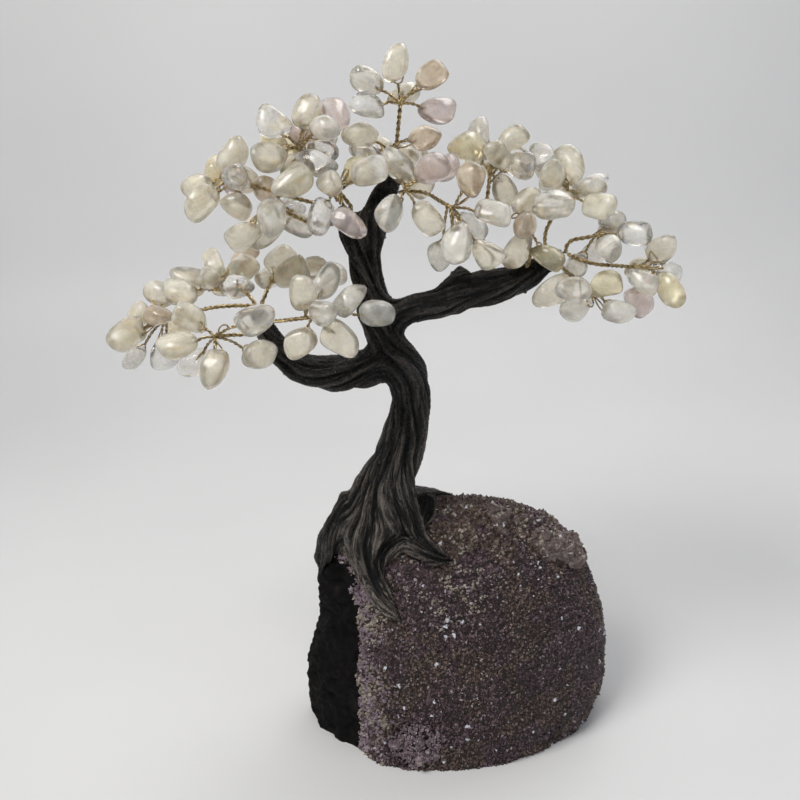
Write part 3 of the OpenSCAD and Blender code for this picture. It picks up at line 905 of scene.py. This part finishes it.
# rib also drives the painted highlight along the clay's ribs
set_attribute(tree, "rib", np.clip(0.45 * broad + 0.4 * medium + 0.25 * hair, 0, 1))
set_attribute(tree, "strand", strand)
base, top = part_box("trunk")[0].z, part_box("trunk")[1].z
GREY_END, GREY_FADE = 0.62, 0.45    # shares of the trunk's height: no grey above the first
low = np.clip((base + GREY_END * (top - base) - co[:, 2]) / (GREY_FADE * (top - base)), 0, 1)
# the left root stays as black as the rock beside it
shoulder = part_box("root_left")
low *= np.clip((co[:, 0] - shoulder[0].x) / (shoulder[1].x - shoulder[0].x), 0.1, 1)
set_attribute(tree, "low", low)
tree.data.materials.append(M_CLAY)
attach(tree, ROOT)
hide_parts(*CLAY_NODES)

for name in ("armature_left", "armature_centre", "armature_right"):
    ob = frame["nodes"][name]
    ob.data.materials.clear()
    ob.data.materials.append(M_CORE)


# ------------------------------------------------------------------ block
FLAT = 0.5 * MM             # below this height the block's skin isn't broken
FLAT_FADE = 3 * MM


def grown(name, node, voxel, rounds, amount, seed, wrinkle):
    """A CAD solid remade with a broken surface, flat on the table."""
    ob = remeshed(name, *node_mesh(node), voxel)
    keep_largest(ob)
    e = edges_of(ob)
    p = relax(coords(ob), e, rounds)
    p[:, 2] = np.where(coords(ob)[:, 2] < FLAT, coords(ob)[:, 2], p[:, 2])
    set_coords(ob, p)
    n = normals(ob)
    ledges = 1 - np.abs(noise_at(p * [1, 1, 3.0], 16 * MM, seed + 1, 3)) * 2
    h = noise_at(p, 14 * MM, seed, 4) + ledges * wrinkle + 0.35 * noise_at(p, 4 * MM, seed + 2, 2)
    up = np.clip((p[:, 2] - FLAT) / FLAT_FADE, 0, 1)
    p = p + n * (h * amount * up)[:, None]
    p[:, 2] = np.maximum(p[:, 2], 0)
    set_coords(ob, p)
    return ob


wall = grown("rock_wall", "rock_matrix", voxel=1.2 * MM, rounds=4, amount=1.6 * MM,
             seed=21, wrinkle=0.9)
wall.data.materials.append(M_ROCK)
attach(wall, ROOT)
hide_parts("rock_matrix")

bed = grown("druse_bed", "druse_crust", voxel=1.1 * MM, rounds=3, amount=1.2 * MM,
            seed=31, wrinkle=0.2)
bed.data.materials.append(M_SHADED_BED)
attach(bed, ROOT)
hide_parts("druse_crust")


def facing_out(mid, nor):
    """True on the block's outer side: away from its middle line, and clear of the table."""
    lo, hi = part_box("rock_matrix")
    centre = np.array([(lo.x + hi.x) / 2, (lo.y + hi.y) / 2, (lo.z + hi.z) * 0.42])
    return (np.sum((mid - centre) * nor, axis=1) > 0) & (mid[:, 2] > 1.5 * MM)


def outer_points(ob, count, rng):
    """Points and normals scattered over the outer side of a mesh on the block."""
    me = ob.data
    me.calc_loop_triangles()
    tri = np.zeros(len(me.loop_triangles) * 3, int)
    me.loop_triangles.foreach_get("vertices", tri)
    tri = tri.reshape(-1, 3)
    p, n = coords(ob), normals(ob)
    a, b, c = p[tri[:, 0]], p[tri[:, 1]], p[tri[:, 2]]
    mid = (a + b + c) / 3
    nor = unit(n[tri].mean(1))
    area = np.linalg.norm(np.cross(b - a, c - a), axis=1) / 2
    area = np.where(facing_out(mid, nor), area, 0)
    pick = rng.choice(len(tri), count, p=area / area.sum())
    u, v = rng.uniform(size=(2, count))
    flip = u + v > 1
    u, v = np.where(flip, 1 - u, u), np.where(flip, 1 - v, v)
    at = a[pick] + u[:, None] * (b - a)[pick] + v[:, None] * (c - a)[pick]
    return at, nor[pick]


CRUST_LO, CRUST_HI = (np.array(v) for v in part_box("druse_crust"))


def share_of_crust(p):
    """How far along the crust's box the points are, from 0 to 1 on each axis."""
    return (p - CRUST_LO) / (CRUST_HI - CRUST_LO)


def near_place(q, x, z, size):
    """1 at a place on the show face, given in shares of the crust's box, falling to 0."""
    return np.exp(-((q[:, 0] - x) ** 2 + (q[:, 2] - z) ** 2) / size ** 2)


POINT_FACES, POINT_VERTS = 10, 7    # of one crystal point: six sides and a closed foot


def pyramids(at, out, r, length, rng):
    """Vertices and faces of a low six-sided point at every place."""
    n = len(at)
    side = unit(np.cross(out, [0.3, 0.9, 0.28]))
    up = np.cross(out, side)
    a = rng.uniform(0, 6, n)[:, None] + np.arange(6) * math.pi / 3
    w = r[:, None] * (1 + 0.22 * rng.uniform(-1, 1, (n, 6)))
    ring = (w * np.cos(a))[..., None] * side[:, None] + (w * np.sin(a))[..., None] * up[:, None]
    low = at[:, None] - (0.45 * r)[:, None, None] * out[:, None] + ring
    lean = rng.uniform(-0.35, 0.35, (2, n, 1)) * r[:, None]
    tip = at + out * length[:, None] + side * lean[0] + up * lean[1]
    verts = np.concatenate([low, tip[:, None]], axis=1).reshape(-1, 3)
    one = [(k, (k + 1) % 6, 6) for k in range(6)] + [(0, k + 1, k) for k in range(1, 5)]
    faces = (np.array(one)[None] + POINT_VERTS * np.arange(n)[:, None, None]).reshape(-1, 3)
    return verts, faces


def druse_object(name, verts, faces, kinds, materials):
    """An object of low points, with a material number for each face."""
    ob = add_mesh(name, verts.reshape(-1, 3), faces.reshape(-1, 3), smooth=False)
    for m in materials:
        ob.data.materials.append(m)
    ob.data.polygons.foreach_set("material_index", kinds.ravel().astype(np.int32))
    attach(ob, ROOT)
    return ob


LUMP = np.array(sum(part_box("lower_crystals"), Vector((0, 0, 0)))) / 2
LUMP_RISE, LUMP_R, LUMP_TINT_R = 2.2 * MM, 12 * MM, 13 * MM
POINTS = 26000              # crystal points on the crust
MESHES = 2                  # meshes they are shared out to
POINT_SIZE = 0.85           # middle size of a point, in mm
GLINTS = 0.0055             # share of the points that are big, with all six sides painted white as glints
SINGLE_GLINTS = 0.006       # share with one side painted white as a glint


def near_lump(p, radius):
    """1 at the lower lump's middle, as seen on the show face, falling to 0."""
    return np.exp(-np.sum((p - LUMP)[:, [0, 2]] ** 2, axis=1) / radius ** 2)


def build_druse(rng):
    """The crust's points: brown towards the crest, a lilac and pale band down the left,
    two pale veins, the mauve lump low at the left, and painted glints, white sides, all over."""
    count = POINTS
    at, nor = outer_points(bed, count, rng)
    at = at + nor * (LUMP_RISE * near_lump(at, LUMP_R))[:, None]
    q = share_of_crust(at)
    rough = noise_at(at, 20 * MM, 41, 3)
    spots = noise_at(at, 7 * MM, 42, 3)
    crest = np.clip((q[:, 2] - 0.78) / 0.12 + 0.4 * rough, 0, 1)
    left = np.clip((0.22 - q[:, 0] + 0.10 * rough) / 0.12, 0, 1) * (q[:, 2] < 0.86)
    vein = np.maximum(near_place(q, 0.45, 0.75, 0.085), 0.9 * near_place(q, 0.17, 0.76, 0.09))
    size = np.exp(rng.normal(math.log(POINT_SIZE), 0.28, count)) * (1 + 0.55 * crest + 0.5 * left)
    glint = (rng.uniform(size=count) < GLINTS) & (left < 0.5)
    size = np.where(glint, rng.uniform(0.9, 2.1, count), np.clip(size, 0.55, 2.6)) * MM
    out = unit(nor + rng.normal(size=(count, 3)) * 0.30)
    verts, faces = pyramids(at, out, size * 0.80, size * 0.85, rng)
    roll = rng.uniform(size=count)
    kind = np.where(rough + 0.5 * crest > 0.05, BROWN, PLUM)
    pale = 0.8 * left + 1.1 * vein * (spots > 0.0) + 0.25 * crest * (spots > 0.2)
    kind = np.where(roll < pale, np.where(spots > 0.1, PALE, LILAC), kind)
    kind = np.where((roll > 0.975) & (kind < PALE), LILAC, kind)
    kind = np.where(near_lump(at, LUMP_TINT_R) + 0.25 * spots > 0.42, MAUVE, kind)
    kinds = np.repeat(kind, POINT_FACES).reshape(count, POINT_FACES)
    # one side of a few points, and every side of the glint points, is painted white as a glint
    lit = rng.integers(0, 6, count)
    one_painted_glint = rng.uniform(size=count) < SINGLE_GLINTS
    kinds[np.nonzero(one_painted_glint)[0], lit[one_painted_glint]] = PAINTED_GLINT
    kinds[glint, :6] = PAINTED_GLINT
    faces = faces.reshape(count, POINT_FACES, 3)
    verts = verts.reshape(count, POINT_VERTS, 3)
    for g in range(MESHES):
        mine = np.arange(g, count, MESHES)
        f = faces[mine] + POINT_VERTS * (np.arange(len(mine)) - mine)[:, None, None]
        ob = druse_object(f"druse_points_{g + 1}", verts[mine], f, kinds[mine], DRUSE)


build_druse(np.random.default_rng(7))


def sunk(p, share):
    """Points brought nearer to the crust's surface: a share of 1 leaves them alone."""
    surface = coords(bed)
    finder = kdtree.KDTree(len(surface))
    for i, v in enumerate(surface):
        finder.insert(v, i)
    finder.balance()
    near = np.array([finder.find(v)[0] for v in p])
    return near + (p - near) * share


def domed(ob, p, rng, count, radius, height):
    """Points with round lumps raised on them, like a bunch of grapes."""
    set_coords(ob, p)
    centres, _ = outer_points(ob, count, rng)
    d = np.full(len(p), np.inf)
    for c in centres:
        d = np.minimum(d, np.linalg.norm(p - c, axis=1))
    return p + normals(ob) * (height * np.sqrt(np.clip(1 - (d / radius) ** 2, 0, 1)))[:, None]


GRAPE_R, GRAPE_RISE = 3.4 * MM, 1.5 * MM    # the round lumps on a knot
KNOT_POINTS = 420


def build_knots(name, node, seed, size, share, lumps, inset, material, tips):
    """Larger crystals grown together over a CAD knot: a lumpy mass with points on it. size
    is its points' middle radius in mm, inset how far its skin is drawn in, and tips the
    share of pale points and of points painted white as glints."""
    rng, count = np.random.default_rng(seed), KNOT_POINTS
    lump = closed(remeshed(name + "_lump", *node_mesh(node), 0.8 * MM), 3 * MM)
    p = sunk(relax(coords(lump), edges_of(lump), 16), share)
    p = domed(lump, p, rng, lumps, GRAPE_R, GRAPE_RISE)
    p = relax(p, edges_of(lump), 2)
    set_coords(lump, p)
    p = p + normals(lump) * (0.5 * MM * noise_at(p, 6 * MM, 51, 2) - inset)[:, None]
    p[:, 2] = np.maximum(p[:, 2], 0)
    set_coords(lump, p)
    lump.data.materials.append(material)
    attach(lump, ROOT)
    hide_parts(node)
    at, nor = outer_points(lump, count, rng)
    out = unit(nor + rng.normal(size=(count, 3)) * 0.25)
    r = np.exp(rng.normal(math.log(size), 0.35, count)) * MM
    verts, faces = pyramids(at, out, r, r * rng.uniform(0.3, 0.6, count), rng)
    # tips: pale points, and points painted white as glints
    kinds = np.repeat(rng.choice(3, count, p=[1 - tips, tips * 0.8, tips * 0.2]), POINT_FACES)
    ob = druse_object(name + "_points", verts, faces, kinds, [material, DRUSE[PALE], DRUSE[PAINTED_GLINT]])


build_knots("crest", "crest_crystals", seed=8, size=1.3, share=0.45, lumps=26, inset=0.0,
            material=M_CRYSTAL, tips=0.10)
build_knots("mauve", "lower_crystals", seed=9, size=1.15, share=1.0, lumps=14, inset=1.4 * MM,
            material=DRUSE[MAUVE], tips=0.08)


# ------------------------------------------------------------------ stage and light
floor_me = bpy.data.meshes.new("floor")
FLOOR = 1.6                 # how far the floor reaches to the front and the sides
BACK = 0.62                 # where it curves up behind the tree
outline = [(-FLOOR, 0.0), (BACK - 0.25, 0.0), (BACK - 0.12, 0.02), (BACK - 0.04, 0.09),
           (BACK, 0.22), (BACK, 1.6)]
fv = [(x, y, z) for y, z in outline for x in (-FLOOR, FLOOR)]
ff = [(2 * i, 2 * i + 1, 2 * i + 3, 2 * i + 2) for i in range(len(outline) - 1)]
floor_me.from_pydata(fv, [], ff)
floor = bpy.data.objects.new("floor", floor_me)
bpy.context.scene.collection.objects.link(floor)
paper = Shader("floor")
paper.to("Base Color", paper.ramp(paper.noise(3, detail=3), (0.3, (0.75, 0.752, 0.755)),
                                  (0.7, (0.80, 0.802, 0.805))))
paper.set(Roughness=0.55)
floor_me.materials.append(paper.done())
sub = floor.modifiers.new("round", "SUBSURF")
sub.levels = sub.render_levels = 3
floor_me.polygons.foreach_set("use_smooth", np.ones(len(floor_me.polygons), bool))


def area_light(name, at, target, size, power, colour=(1, 1, 1)):
    data = bpy.data.lights.new(name, "AREA")
    data.shape = "RECTANGLE"
    data.size, data.size_y = size
    data.energy = power
    data.color = colour
    ob = bpy.data.objects.new(name, data)
    bpy.context.scene.collection.objects.link(ob)
    ob.location = at
    ob.rotation_euler = (Vector(target) - Vector(at)).to_track_quat("-Z", "Y").to_euler()


area_light("key", (-0.45, -0.35, 0.95), (0, 0, 0.18), (0.5, 0.4), 7.0, (1.0, 0.98, 0.95))
area_light("fill", (0.9, -0.6, 0.5), (0, 0, 0.16), (0.5, 0.6), 1.6, (0.93, 0.96, 1.0))
area_light("back", (0.35, 0.45, 0.8), (0, 0, 0.25), (0.7, 0.3), 2.4)
world = bpy.data.worlds.new("world")
world.use_nodes = True
world.node_tree.nodes["Background"].inputs["Color"].default_value = (0.88, 0.89, 0.93, 1)
world.node_tree.nodes["Background"].inputs["Strength"].default_value = 0.25
bpy.context.scene.world = world
bpy.context.scene.view_settings.view_transform = "Standard"
